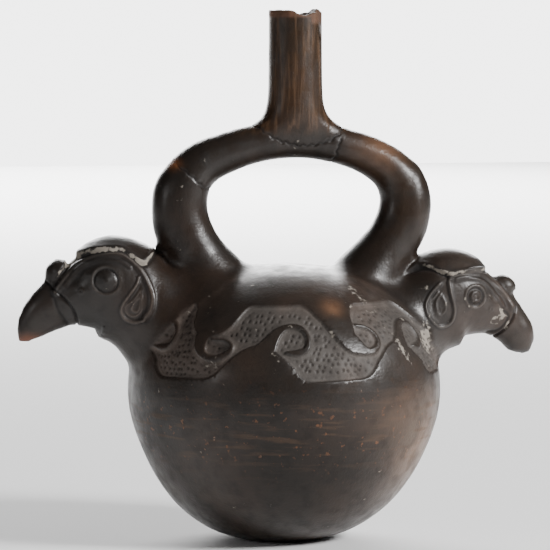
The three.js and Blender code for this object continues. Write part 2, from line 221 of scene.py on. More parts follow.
# Where a head is fuller (above zero) or flatter than its sections: x, z, radius, millimetres.
FULLNESS = {
    "west": [(76, 130, 9, 0.9), (91.5, 123, 5.5, -1.5), (84, 92, 6, 2.0), (110, 102, 6, 0.5),
             (53, 121, 4, -0.6)],
    "east": [(74, 130, 9, 0.5), (91, 123, 5.5, -1.3), (83, 92, 6.5, 2.0), (103.8, 116, 3.4, 1.8),
             (113, 97, 6, 1.2), (106, 90, 5, 1.8), (111, 88, 4, 1.2)],
}

# How the outer form is made even and its joins are softened, and the lengths of the mesh's edges.
VOXEL = 2.0
RELAX_ROUNDS = 3
FILLET_ROUNDS = 18
SPLIT_PASSES = 4
NAPE_NOTCH = (53, 119)
NAPE_NOTCH_RADIUS = 7
BEAK_STARTS = (86, 92)
PLAIN_EDGE = 2.8
FINE_EDGE = 0.6
GROUND_EDGE = 0.72
TONGUE_EDGE = 0.7
INNER_EDGE = 12.0

# Colours of the clay, and of painted shade and painted highlights, as linear red, green and blue.
DARK_CLAY = (0.017, 0.0125, 0.0098)
WARM_CLAY = (0.03, 0.0165, 0.0085)
GREY_CLAY = (0.024, 0.021, 0.019)
WARM_GREY = (0.038, 0.03, 0.025)
BROWN_CLAY = (0.13, 0.075, 0.045)
RED_CLAY = (0.16, 0.06, 0.03)
ORANGE_CLAY = (0.32, 0.13, 0.05)
WORN_CLAY = (0.035, 0.025, 0.019)
PALE_BROWN = (0.13, 0.085, 0.055)
GROUND_CLAY = (0.07, 0.06, 0.053)
# Painted highlight on raised edges, which on the heads' ridges also stands for pale wear.
EDGE_HIGHLIGHT_AND_WEAR = (0.11, 0.097, 0.087)
CORE_CLAY = (0.12, 0.055, 0.03)
GROOVE_SHADE = (0.004, 0.003, 0.003)
CRACK_SHADE = (0.006, 0.004, 0.003)
CHALK = (0.36, 0.32, 0.27, 1)
BURNISH_STREAK = (0.11, 0.06, 0.032, 1)
WORN_STREAK = (0.11, 0.062, 0.035, 1)
ORANGE_FLECK = (0.19, 0.075, 0.03, 1)
LIGHTER = (1.9, 1.6, 1.45, 1)
DARKER = (0.45, 0.42, 0.4, 1)

# ---------------------------------------------------------------- lines and simple closed shapes


def spline(points, count):
    """Points along a smooth line through the given ones."""
    p = np.asarray(points, float)
    padded = np.vstack([2 * p[0] - p[1], p, 2 * p[-1] - p[-2]])
    t = np.linspace(0, len(p) - 1, count)
    i = np.minimum(t.astype(int), len(p) - 2)
    f = (t - i)[:, None]
    a, b, c, d = (padded[i + k] for k in range(4))
    square, cube = 2 * a - 5 * b + 4 * c - d, 3 * b - a - 3 * c + d
    return 0.5 * (2 * b + (c - a) * f + square * f**2 + cube * f**3)


def tube(rings):
    """A closed shape from rings of points, with a fan over each end."""
    count, sides = rings.shape[:2]
    points = np.vstack([rings.reshape(-1, 3), rings[0].mean(0), rings[-1].mean(0)])
    start = np.arange(count - 1)[:, None] * sides
    here = np.arange(sides)[None, :]
    after = (here + 1) % sides
    a, b = (start + here).ravel(), (start + after).ravel()
    walls = np.vstack([
        np.column_stack([a, b, b + sides]),
        np.column_stack([a, b + sides, a + sides]),
    ])
    first, last = count * sides, count * sides + 1
    top = (count - 1) * sides
    here, after = here.ravel(), after.ravel()
    ends = np.vstack([
        np.column_stack([after, here, np.full(sides, first)]),
        np.column_stack([top + here, top + after, np.full(sides, last)]),
    ])
    return points, np.vstack([walls, ends])


def loft(sections, rings, sides):
    """A closed tube of ellipses, from x, z, half height and half width."""
    line = spline(sections, rings)
    along = np.gradient(line[:, :2], axis=0)
    along /= np.linalg.norm(along, axis=1)[:, None]
    angle = np.arange(sides) * 2 * math.pi / sides
    rise = line[:, 2, None] * np.sin(angle)
    x = line[:, 0, None] - along[:, 1, None] * rise
    z = line[:, 1, None] + along[:, 0, None] * rise
    y = line[:, 3, None] * np.cos(angle)
    return tube(np.stack([x, y, z], axis=2))


def lathe(profile, sides):
    """A closed round shape from radius and height, from the bottom up."""
    angle = np.arange(sides) * 2 * math.pi / sides
    x = profile[:, 0, None] * np.cos(angle)
    y = profile[:, 0, None] * np.sin(angle)
    z = np.repeat(profile[:, 1, None], sides, axis=1)
    points, faces = tube(np.stack([x, y, z], axis=2))
    share = np.maximum(1 - points[:, 2] / LEAN_HEIGHT, 0)
    points[:, 0] += BASE_LEAN * share**2
    return points, faces


def ball(place, half, turn=0.0):
    """A closed ellipsoid, turned about the upright axis."""
    height = np.cos(np.linspace(math.pi, 0, 22)[1:-1])
    angle = np.arange(32) * 2 * math.pi / 32
    radius = np.sqrt(1 - height**2)
    x = radius[:, None] * np.cos(angle) * half[0]
    y = radius[:, None] * np.sin(angle) * half[1]
    z = np.repeat(height[:, None], 32, axis=1) * half[2]
    c, s = math.cos(turn), math.sin(turn)
    rings = np.stack([x * c - y * s + place[0], x * s + y * c + place[1], z + place[2]], axis=2)
    return tube(rings)


def body_profile(inset, rows):
    line = spline(BODY_PROFILE, rows)
    along = np.gradient(line, axis=0)
    along /= np.linalg.norm(along, axis=1)[:, None]
    profile = np.column_stack([line[:, 0] - along[:, 1] * inset, line[:, 1] + along[:, 0] * inset])
    profile[0, 1] = inset
    return np.maximum(profile[:-1], 0.02)


def shrunk(sections, by):
    return [(x, z, max(tall - by, 0.5), max(wide - by, 0.5)) for x, z, tall, wide in sections]


def to_world(points, head):
    """From a head's own frame to the model's."""
    x, y, z = (points - (NAPE[0], 0, NAPE[1])).T * head["size"]
    c, s = math.cos(head["nod"]), math.sin(head["nod"])
    x, z = x * c + z * s + NAPE[0], z * c - x * s + NAPE[1] + head["up"]
    c, s = math.cos(head["turn"]), math.sin(head["turn"])
    return np.column_stack([x * c - y * s, x * s + y * c, z])


def to_head(points, head):
    """From the model's frame to a head's own."""
    c, s = math.cos(head["turn"]), math.sin(head["turn"])
    x = points[:, 0] * c + points[:, 1] * s - NAPE[0]
    y = points[:, 1] * c - points[:, 0] * s
    z = points[:, 2] - NAPE[1] - head["up"]
    c, s = math.cos(head["nod"]), math.sin(head["nod"])
    x, z = x * c - z * s, x * s + z * c
    return np.column_stack([x, y, z]) / head["size"] + (NAPE[0], 0, NAPE[1])


def head_parts(head):
    reach = BEAK[1][0]
    beak = [
        (x if x < reach else reach + (x - reach) * head["reach"], z, tall, wide)
        for x, z, tall, wide in BEAK
    ]
    knob = ball((KNOB[0], 0, KNOB[1]), (KNOB[2], KNOB[2] * KNOB_WIDTH, KNOB[2]))
    made = [loft(SKULL, 60, 48), loft(beak, 40, 32), knob]
    return [(to_world(points, head), faces) for points, faces in made]


def head_hollow(head):
    sections = [(x, z, tall - CHIN_WALL, wide) for x, z, tall, wide in SKULL[:7]]
    points, faces = loft(shrunk(sections, HEAD_WALL), 9, 12)
    return to_world(points, head), faces


def outer_parts():
    spout = [(SPOUT_X, z, wide, deep) for z, wide, deep in SPOUT]
    parts = [
        lathe(body_profile(0, 90), 160),
        loft([(x, z, r, r) for x, z, r in STIRRUP], 110, 40),
        loft(spout, 50, 48),
    ]
    return parts + [part for head in HEADS.values() for part in head_parts(head)]


def inner_parts():
    bore = np.array([(BORE_FOOT, BORE_FOOT_Z), (BORE_TOP, RIM_HEIGHT + 8)])
    rings = []
    angle = np.arange(40) * 2 * math.pi / 40
    for share in np.linspace(0, 1, 12):
        radius, z = bore[0] + (bore[1] - bore[0]) * share
        x, y = SPOUT_X + radius * np.cos(angle), radius * np.sin(angle)
        rings.append(np.column_stack([x, y, np.full(40, z)]))
    legs = [(x, z, min(r - TUBE_WALL, LEG_BORE)) for x, z, r in STIRRUP]
    return [
        lathe(body_profile(BODY_WALL, 22), 36),
        loft([(x, z, r, r) for x, z, r in legs], 30, 12),
        tube(np.array(rings)),
        *[head_hollow(head) for head in HEADS.values()],
    ]


def lost_rim():
    """What has broken away from the mouth: all above the broken line, and a scoop off the front east side."""
    line = spline(BROKEN_RIM, 80)
    above = RIM_HEIGHT + 12
    rings = []
    for x, z in line:
        rings.append([
            (SPOUT_X + x, 30, RIM_HEIGHT + z), (SPOUT_X + x, -30, RIM_HEIGHT + z),
            (SPOUT_X + x, -30, above), (SPOUT_X + x, 30, above),
        ])
    place = (CHIP_PLACE[0] + SPOUT_X, CHIP_PLACE[1], CHIP_PLACE[2])
    return [tube(np.array(rings)), ball(place, CHIP_HALF, CHIP_TURN)]


# ---------------------------------------------------------------- meshes


def make_object(name, points, faces):
    data = bpy.data.meshes.new(name)
    data.from_pydata((points * MM).tolist(), [], faces.tolist())
    data.validate()
    made = bpy.data.objects.new(name, data)
    bpy.context.scene.collection.objects.link(made)
    return made


def facing_out(points, faces):
    """The same closed shape with its faces turned outwards."""
    a, b, c = (points[faces[:, k]] for k in range(3))
    return faces if (a * np.cross(b, c)).sum() > 0 else faces[:, ::-1]


def joined(parts):
    points, faces, count = [], [], 0
    for p, f in parts:
        points.append(p)
        faces.append(f + count)
        count += len(p)
    return np.vstack(points), np.vstack(faces)


def baked(piece):
    """Applies a piece's modifiers to its mesh."""
    graph = bpy.context.evaluated_depsgraph_get()
    data = bpy.data.meshes.new_from_object(piece.evaluated_get(graph))
    piece.modifiers.clear()
    piece.data = data


def arrays(piece):
    """A mesh's points in millimetres and its triangles."""
    data = piece.data
    data.calc_loop_triangles()
    points = np.empty(len(data.vertices) * 3)
    data.vertices.foreach_get("co", points)
    faces = np.empty(len(data.loop_triangles) * 3, np.int64)
    data.loop_triangles.foreach_get("vertices", faces)
    return points.reshape(-1, 3) / MM, faces.reshape(-1, 3)


def discard(piece):
    bpy.data.objects.remove(piece)


def edges_of(faces):
    pairs = np.sort(np.vstack([faces[:, [0, 1]], faces[:, [1, 2]], faces[:, [2, 0]]]), axis=1)
    found, place = np.unique(pairs[:, 0] * 10_000_000 + pairs[:, 1], return_inverse=True)
    return np.column_stack([found // 10_000_000, found % 10_000_000]), place.reshape(3, -1).T


def scattered(index, values, count):
    return np.column_stack([np.bincount(index, values[:, k], count) for k in range(values.shape[1])])


def normals_of(points, faces):
    a, b, c = (points[faces[:, k]] for k in range(3))
    cross = np.cross(b - a, c - a)
    total = sum(scattered(faces[:, k], cross, len(points)) for k in range(3))
    return total / np.maximum(np.linalg.norm(total, axis=1), 1e-12)[:, None]


def neighbour_mean(values, edges, count):
    both = np.concatenate([edges[:, 0], edges[:, 1]])
    other = np.concatenate([edges[:, 1], edges[:, 0]])
    degree = np.maximum(np.bincount(both, minlength=count), 1)
    return scattered(both, values[other], count) / degree[:, None]


def relaxed(points, faces, rounds, weight):
    """Smooths without shrinking: each soft step is followed by a step back out."""
    edges, _ = edges_of(faces)
    for _ in range(rounds):
        for step in (0.5, -0.52):
            pull = neighbour_mean(points, edges, len(points)) - points
            points = points + step * weight[:, None] * pull
    return points


def filleted(points, faces, rounds, weight):
    """Fills hollow corners only, so that forms flow into each other."""
    edges, _ = edges_of(faces)
    for _ in range(rounds):
        pull = neighbour_mean(points, edges, len(points)) - points
        out = (pull * normals_of(points, faces)).sum(1)
        points = points + (weight * (out > 0))[:, None] * 0.5 * pull
    return points


def refined(points, faces, wanted, passes):
    """Splits edges longer than wanted(points) until none is left or the passes are used up."""
    for _ in range(passes):
        edges, place = edges_of(faces)
        a, b = points[edges[:, 0]], points[edges[:, 1]]
        middle = (a + b) / 2
        marked = np.linalg.norm(a - b, axis=1) > 1.35 * wanted(middle)
        if not marked.any():
            break
        normal = normals_of(points, faces)
        na, nb = normal[edges[:, 0]], normal[edges[:, 1]]
        smooth = ((na * nb).sum(1) > 0.8)[:, None]
        bulge = ((middle - a) * na).sum(1)[:, None] * na + ((middle - b) * nb).sum(1)[:, None] * nb
        middle = middle - np.where(smooth, 0.25 * bulge, 0)
        new_index = np.full(len(edges), -1)
        new_index[marked] = len(points) + np.arange(marked.sum())
        points = np.vstack([points, middle[marked]])
        m = new_index[place]
        count = (m >= 0).sum(1)
        out = [faces[count == 0]]
        for k in range(3):
            turn = [k, (k + 1) % 3, (k + 2) % 3]
            f, e = faces[:, turn], m[:, turn]
            one = (count == 1) & (e[:, 0] >= 0)
            v, w = f[one], e[one]
            out += [
                np.column_stack([v[:, 0], w[:, 0], v[:, 2]]),
                np.column_stack([w[:, 0], v[:, 1], v[:, 2]]),
            ]
            two = (count == 2) & (e[:, 2] < 0)
            v, w = f[two], e[two]
            out += [
                np.column_stack([w[:, 0], v[:, 1], w[:, 1]]),
                np.column_stack([v[:, 0], w[:, 0], w[:, 1]]),
                np.column_stack([v[:, 0], w[:, 1], v[:, 2]]),
            ]
        v, w = faces[count == 3], m[count == 3]
        out += [
            np.column_stack([v[:, 0], w[:, 0], w[:, 2]]),
            np.column_stack([w[:, 0], v[:, 1], w[:, 1]]),
            np.column_stack([w[:, 2], w[:, 1], v[:, 2]]),
            w,
        ]
        faces = np.vstack(out)
    return points, faces


def step(low, high, value):
    """0 below low, 1 above high, smooth between."""
    t = np.clip((value - low) / (high - low), 0, 1)
    return t * t * (3 - 2 * t)


def line_distance(points, line, halves=None):
    """Distance to a line of points, less the line's half width there."""
    best = np.full(len(points), 1e9)
    for k in range(len(line) - 1):
        a, b = line[k], line[k + 1]
        along = b - a
        share = np.clip(((points - a) @ along) / max(along @ along, 1e-9), 0, 1)
        away = np.linalg.norm(points - a - share[:, None] * along, axis=1)
        if halves is not None:
            away = away - (halves[k] + share * (halves[k + 1] - halves[k]))
        best = np.minimum(best, away)
    return best


# ---------------------------------------------------------------- the carving as fields over the surface

profile_line = spline(BODY_PROFILE, 400)[:-1]


def body_radius(z):
    return np.interp(z, profile_line[:, 1], profile_line[:, 0])


def on_body(points):
    """1 on the body's own surface, 0 where a leg or a neck leaves it."""
    away = np.hypot(points[:, 0], points[:, 1]) - body_radius(points[:, 2])
    return 1 - step(0.5, 2.5, np.abs(away))


class Grid:
    """Values worked out on a flat grid once, and read between its points."""

    def __init__(self, low, high, pitch, make):
        self.low, self.pitch = np.array(low, float), pitch
        self.count = ((np.array(high) - self.low) / pitch).astype(int) + 2
        u, v = (self.low[k] + pitch * np.arange(self.count[k]) for k in (0, 1))
        flat = np.stack(np.meshgrid(u, v, indexing="ij"), axis=2).reshape(-1, 2)
        self.values = {key: value.reshape(self.count) for key, value in make(flat).items()}

    def read(self, at):
        place = np.clip((at - self.low) / self.pitch, 0, self.count - 1.001)
        i = place.astype(int)
        f, g = (place - i).T
        i, j = i.T
        return {
            key: v[i, j] * (1 - f) * (1 - g) + v[i + 1, j] * f * (1 - g) + v[i, j + 1] * (1 - f) * g
            + v[i + 1, j + 1] * f * g
            for key, v in self.values.items()
        }


def soft_min(a, b, width):
    """The smaller of two, rounded where they cross."""
    near = np.maximum(width - np.abs(a - b), 0) / width
    return np.minimum(a, b) - near**2 * width / 4


def ground_field(flat):
    """Signed distance inwards from the edge of the sunk ground over two waves: above zero on the ground."""
    best = np.full(len(flat), 1e9)
    for tongue, shifts in (
        (RISING_TONGUE, (0, 1, 2)), (CLOSED_TONGUE, (-2, 0, 2)), (OPEN_TONGUE, (-1, 1)),
    ):
        line = spline(tongue, 34)
        for shift in shifts:
            moved = (line[:, :2] + (shift * WAVE_DEGREES, 0)) * (MM_PER_DEGREE, 1)
            best = np.minimum(best, line_distance(flat, moved, line[:, 2]))
    share = (flat[:, 0] / MM_PER_DEGREE - 4) % WAVE_DEGREES / WAVE_DEGREES
    lower = flat[:, 1] - BAND_BOTTOM - BAND_SLOPE * share
    return {"edge": soft_min(best, soft_min(lower, BAND_TOP - flat[:, 1], 2), BAND_ROUNDING)}


band_grid = Grid((0, 58), (2 * WAVE_DEGREES * MM_PER_DEGREE, 114), BAND_GRID, ground_field)


def ground_distance(points):
    """How far each point is inside the sunk ground."""
    turn = (np.degrees(np.arctan2(points[:, 0], -points[:, 1])) - WAVE_START) % (2 * WAVE_DEGREES)
    return band_grid.read(np.column_stack([turn * MM_PER_DEGREE, points[:, 2]]))["edge"]


def pits(points):
    """Depth of the stippling, 1 in the middle of a pit."""
    row = points[:, 2] / PIT_ROW
    turn = np.arctan2(points[:, 0], -points[:, 1])
    best = np.full(len(points), 9.0)
    for dr in (-1, 0, 1):
        r = np.floor(row) + dr
        radius = body_radius(r * PIT_ROW)
        count = np.floor(2 * math.pi * radius / PIT_STEP)
        col = turn / (2 * math.pi) * count
        for dc in (-1, 0, 1):
            c = np.floor(col) + dc
            h1 = np.sin(r * 127.1 + (c % count) * 311.7) * 43758.5453
            h2 = np.sin(r * 269.5 + (c % count) * 183.3) * 43758.5453
            h1, h2 = h1 - np.floor(h1), h2 - np.floor(h2)
            along = (col - c - 0.5 - (h1 - 0.5) * 0.6 - 0.5 * (r % 2)) / count * 2 * math.pi * radius
            up = (row - r - 0.5 - (h2 - 0.5) * 0.6) * PIT_ROW * 1.15
            best = np.minimum(best, np.hypot(along, up * 0.85))
    return 1 - step(0.15, 0.95, best)


def bump(distance, half):
    """A soft ridge: 1 on the line, 0 well past its half width."""
    return np.exp(-((distance / half) ** 2))


def inside(points, outline):
    """Which 2-D points lie in a closed outline."""
    x, z = points[:, 0], points[:, 1]
    odd = np.zeros(len(points), bool)
    for (x0, z0), (x1, z1) in zip(outline, np.roll(outline, -1, axis=0)):
        if z0 != z1:
            odd ^= ((z0 > z) != (z1 > z)) & (x < (x1 - x0) * (z - z0) / (z1 - z0) + x0)
    return odd


def body_carving(points, with_pits=True):
    """Lift in millimetres and the masks of the carved shoulder."""
    masks = {name: np.zeros(len(points)) for name in ("lift", "ground", "pit", "rim")}
    near = (points[:, 2] > BAND_BOTTOM - 8) & (points[:, 2] < BAND_TOP + 8)
    near &= np.hypot(points[:, 0], points[:, 1]) > 40
    place = points[near]
    body = on_body(place)
    edge = ground_distance(place)
    ground = body * step(-0.35, 0.45, edge)
    pit = body * step(1.2, 2.2, edge) * (pits(place) if with_pits else 0)
    rim = body * bump(edge - 0.75, 0.5)
    masks["ground"][near] = ground
    masks["pit"][near] = pit
    masks["rim"][near] = rim
    masks["lift"][near] = -BAND_DEPTH * ground - PIT_DEPTH * pit + RIM_LIFT * rim
    return masks, near, edge


def head_carving(points, name):
    """Lift in millimetres and the masks of one head's cap, eye, ear, brow and creases."""
    q = to_head(points, HEADS[name])
    near = (q[:, 0] > 50) & (q[:, 2] > 91)
    found = head_grids[name].read(q[near][:, [0, 2]])
    return {key: found[key] for key in ("lift", "groove", "ridge", "chalk")}, near, found["closest"]


def ring_carving(at, lines, name):
    """The eye's lift, groove, ridge, nearness and distance from its ring.

    The west eye is a boss in a groove, and the east one a raised ring round a small boss.
    """
    r = np.hypot(at[:, 0] - lines["eye"][0], at[:, 1] - lines["eye"][1])
    ring = r - EYE_RING
    if name == "west":
        lift = 0.8 * (1 - step(0, EYE_RING, r)) - 0.55 * bump(ring, 0.45) + 0.25 * bump(ring - 1, 0.6)
        lift += 0.2 * bump(r - 0.8, 0.35)
        groove = 0.5 * bump(ring, 0.4)
        ridge = 0.6 * bump(ring - 0.8, 0.4)
    else:
        lift = 0.5 * bump(ring, 0.45) - 0.4 * bump(ring + 1.3, 0.7)
        lift += 0.55 * (1 - step(2.2, 3, r)) - 0.5 * bump(r - 0.9, 0.5)
        groove = bump(ring + 1, 0.5)
        ridge = bump(ring, 0.4) + bump(r, 0.4)
    return lift, groove, ridge, np.minimum(np.abs(ring), np.maximum(r - 1.5, 0)), ring


def head_field(at, name):
    """The carving of one head's cheeks at x and z in its own frame."""
    lines = CARVING[name]
    fade = step(50, 57, at[:, 0])
    closest = np.full(len(at), 9.0)
    groove = np.zeros(len(at))
    ridge = np.zeros(len(at))

    cap = spline(lines["cap"], 60)
    order = np.argsort(cap[:, 0])
    above = at[:, 1] > np.interp(at[:, 0], cap[order, 0], cap[order, 1])
    to_edge = line_distance(at, cap) * np.where(above, 1, -1)
    front = 1 - step(*lines["cap_end"], at[:, 0])
    lift = front * (CAP_LIFT * step(-0.4, 0.7, to_edge) + 0.3 * bump(to_edge - 1.1, 0.7))
    lift -= front * 0.45 * bump(to_edge + 0.8, 0.5)
    closest = np.minimum(closest, np.abs(to_edge))
    groove = np.maximum(groove, front * bump(to_edge + 0.2, 1.1))

    for key, (half, height) in RAISED_LINES.items():
        away = line_distance(at, spline(lines[key], 70))
        lift += height * (1 - step(half * 0.6, half * 1.9, away))
        ridge = np.maximum(ridge, bump(away, half * (0.9 if key == "ear" else 0.4)) * (key != "brow"))
        groove = np.maximum(groove, bump(away - 1.9 * half, 0.6) * 0.6)
        closest = np.minimum(closest, np.abs(away - half))
    for petal in lines["petals"]:
        away = line_distance(at, spline(petal, 50))
        lift += 0.32 * bump(away, 0.42)
        ridge = np.maximum(ridge, 0.7 * bump(away, 0.35))
        closest = np.minimum(closest, away)
    ear = spline(lines["ear"], 70)
    lift -= 0.3 * inside(at, ear) * step(0.4, 1.4, line_distance(at, ear))
    for (depth, half), crease in zip(CREASE_CUTS, lines["creases"]):
        away = line_distance(at, spline(crease, 50))
        lift -= depth * bump(away, half)
        groove = np.maximum(groove, bump(away, half))
        closest = np.minimum(closest, away)

    eye_lift, eye_groove, eye_ridge, to_eye, ring = ring_carving(at, lines, name)
    lift += eye_lift
    groove = np.maximum(groove, eye_groove)
    ridge = np.maximum(ridge, eye_ridge)
    closest = np.minimum(closest, to_eye)
    r = np.hypot(at[:, 0] - lines["nostril"][0], at[:, 1] - lines["nostril"][1])
    lift += 0.35 * bump(r - 0.9, 0.4)
    closest = np.minimum(closest, np.abs(r - 0.9))
    for x, z, radius, amount in lines["pressed"]:
        lift += amount * bump(np.hypot(at[:, 0] - x, at[:, 1] - z), radius)

    chalk = front * bump(to_edge - 0.2, 1.0) * step(56, 62, at[:, 0])
    if name == "east":
        chalk = 0.8 * chalk + bump(ring - 0.3, 0.5) * 0.6
        chalk = chalk + 0.75 * bump(line_distance(at, spline(EAST_DEPOSIT, 30)), 1.5)
    else:
        chalk = chalk + 0.5 * bump(np.hypot(at[:, 0] - WEST_DEPOSIT[0], at[:, 1] - WEST_DEPOSIT[1]), 2)
    return {
        "lift": HEAD_RELIEF * lift * fade, "groove": groove * fade, "ridge": ridge * fade,
        "chalk": np.minimum(chalk, 1), "closest": closest,
    }


head_grids = {
    name: Grid((48, 88), (120, 136), HEAD_GRID, lambda at, name=name: head_field(at, name))
    for name in HEADS
}


def crack_distance(points):
    """Distance to the nearest repaired break."""
    x = points[:, 0] + 0.3 * np.sin(points[:, 2] * 2.1) + 0.25 * np.sin(points[:, 1] * 1.3)
    z = points[:, 2] + 0.35 * np.sin(points[:, 0] * 1.7) + 0.02 * points[:, 1] ** 2 - 1.2
    away = np.full(len(points), 9.0)
    near = points[:, 2] > 145
    at = np.column_stack([x, z])[near]
    away[near] = np.min([line_distance(at, np.array(line)) for line in CRACKS], axis=0)
    return away


def wanted_length(points):
    """How long the mesh's edges may be at each place, longer on the far side."""
    length = np.full(len(points), PLAIN_EDGE)
    _, near, edge = body_carving(points, False)
    on = on_body(points[near]) > 0.02
    behind = step(20, 40, points[near, 1])
    beside = np.where(np.abs(edge) <= 1.0, TONGUE_EDGE + 0.3 * behind, 2.4)
    fine = np.where(edge > 1.0, GROUND_EDGE + 0.5 * behind, beside)
    length[near] = np.where(on, fine, length[near])
    for name in HEADS:
        _, near, closest = head_carving(points, name)
        length[near] = np.minimum(length[near], np.clip(FINE_EDGE + 0.5 * (closest - 0.8), FINE_EDGE, 2.0))
    by_crack = np.clip(FINE_EDGE + 0.8 * (crack_distance(points) - 0.7), FINE_EDGE, PLAIN_EDGE)
    length = np.minimum(length, by_crack)
    x = points[:, 0] - SPOUT_X
    spout = (points[:, 2] > 205) & (np.abs(x) < 14)
    length[spout] = np.clip(0.7 + 0.14 * (RIM_HEIGHT - 5 - points[spout, 2]), 0.7, 2)
    length[is_inner(points)] = INNER_EDGE
    return length


def is_inner(points):
    """Points of the inside wall."""
    radius = np.hypot(points[:, 0], points[:, 1])
    z = points[:, 2]
    chamber = (z > BODY_WALL - 1) & (z < 115.5) & (radius < body_radius(z) - 3.2)
    away = line_distance(points[:, [0, 2]], spline(STIRRUP, 60)[:, :2])
    in_tube = (np.hypot(away, points[:, 1]) < 6.75) & (z > 100) & (z < 176)
    from_axis = np.hypot(points[:, 0] - SPOUT_X, points[:, 1])
    bore = (from_axis < 8.2) & (z > 174) & (z < RIM_HEIGHT - 18)
    hollow = np.zeros(len(points), bool)
    line = spline(SKULL[:7], 40)[:, :2]
    for head in HEADS.values():
        q = to_head(points, head)
        from_line = np.hypot(line_distance(q[:, [0, 2]], line), q[:, 1])
        hollow |= (from_line < 8) & (q[:, 0] > 40) & (q[:, 0] < 95)
    return chamber | in_tube | bore | hollow


# ---------------------------------------------------------------- the vessel

raw = make_object("outer", *joined(outer_parts()))
remesh = raw.modifiers.new("even", "REMESH")
remesh.mode = "VOXEL"
remesh.voxel_size = VOXEL * MM
baked(raw)
points, faces = arrays(raw)
discard(raw)
points = relaxed(points, faces, RELAX_ROUNDS, np.ones(len(points)))
normal = normals_of(points, faces)
for name, head in HEADS.items():
    q = to_head(points, head)
    for x, z, radius, amount in FULLNESS[name]:
        swell = amount * bump(np.hypot(q[:, 0] - x, q[:, 2] - z), radius) * (q[:, 0] > 45)
        points = points + normal * swell[:, None]
sharp = np.zeros(len(points))
for name, head in HEADS.items():
    q = to_head(points, head)
    from_notch = np.hypot(q[:, 0] - NAPE_NOTCH[0], q[:, 2] - NAPE_NOTCH[1])
    sharp = np.maximum(sharp, bump(from_notch, NAPE_NOTCH_RADIUS))
    sharp = np.maximum(sharp, step(*BEAK_STARTS, q[:, 0]))
points = filleted(points, faces, FILLET_ROUNDS, 1 - sharp)

outer = make_object("outer", points, faces)
cutters = bpy.data.collections.new("cutters")
bpy.context.scene.collection.children.link(cutters)
for number, (p, f) in enumerate(inner_parts() + lost_rim()):
    cutter = make_object(f"cutter_{number}", p, facing_out(p, f))
    bpy.context.scene.collection.objects.unlink(cutter)
    cutters.objects.link(cutter)
hollow = outer.modifiers.new("hollow", "BOOLEAN")
hollow.operation = "DIFFERENCE"
hollow.solver = "EXACT"
hollow.operand_type = "COLLECTION"
hollow.collection = cutters
hollow.use_self = True
baked(outer)
points, faces = arrays(outer)
for cutter in list(cutters.objects):
    discard(cutter)
bpy.data.collections.remove(cutters)
discard(outer)
points, faces = refined(points, faces, wanted_length, SPLIT_PASSES)
normal = normals_of(points, faces)
skin = 1.0 - is_inner(points)
lift = np.zeros(len(points))
masks = {name: np.zeros(len(points)) for name in ("ground", "pit", "rim", "groove", "ridge", "chalk")}
carving, _, _ = body_carving(points)
lift += carving["lift"]
for key in ("ground", "pit", "rim"):
    masks[key] = carving[key] * skin
for name in HEADS:
    carving, near, _ = head_carving(points, name)
    lift[near] += carving["lift"]
    for key in ("groove", "ridge", "chalk"):
        masks[key][near] = np.maximum(masks[key][near], carving[key] * skin[near])
masks["crack"] = bump(crack_distance(points), CRACK_HALF) * skin
lift -= CRACK_DEPTH * masks["crack"]
points = points + normal * (lift * skin)[:, None]

vessel = make_object("blackware_vessel", points, faces)
vessel.data.polygons.foreach_set("use_smooth", [True] * len(vessel.data.polygons))

# ---------------------------------------------------------------- how the surface is coloured


def spot(points, place, radius):
    """1 at a place, fading to 0 past the radius."""
    away = np.linalg.norm((points - place) / radius, axis=1)
    return np.exp(-(away**2))


def blend(tint, colour, share):
    return tint + (np.array(colour) - tint) * np.clip(share, 0, 1)[:, None]


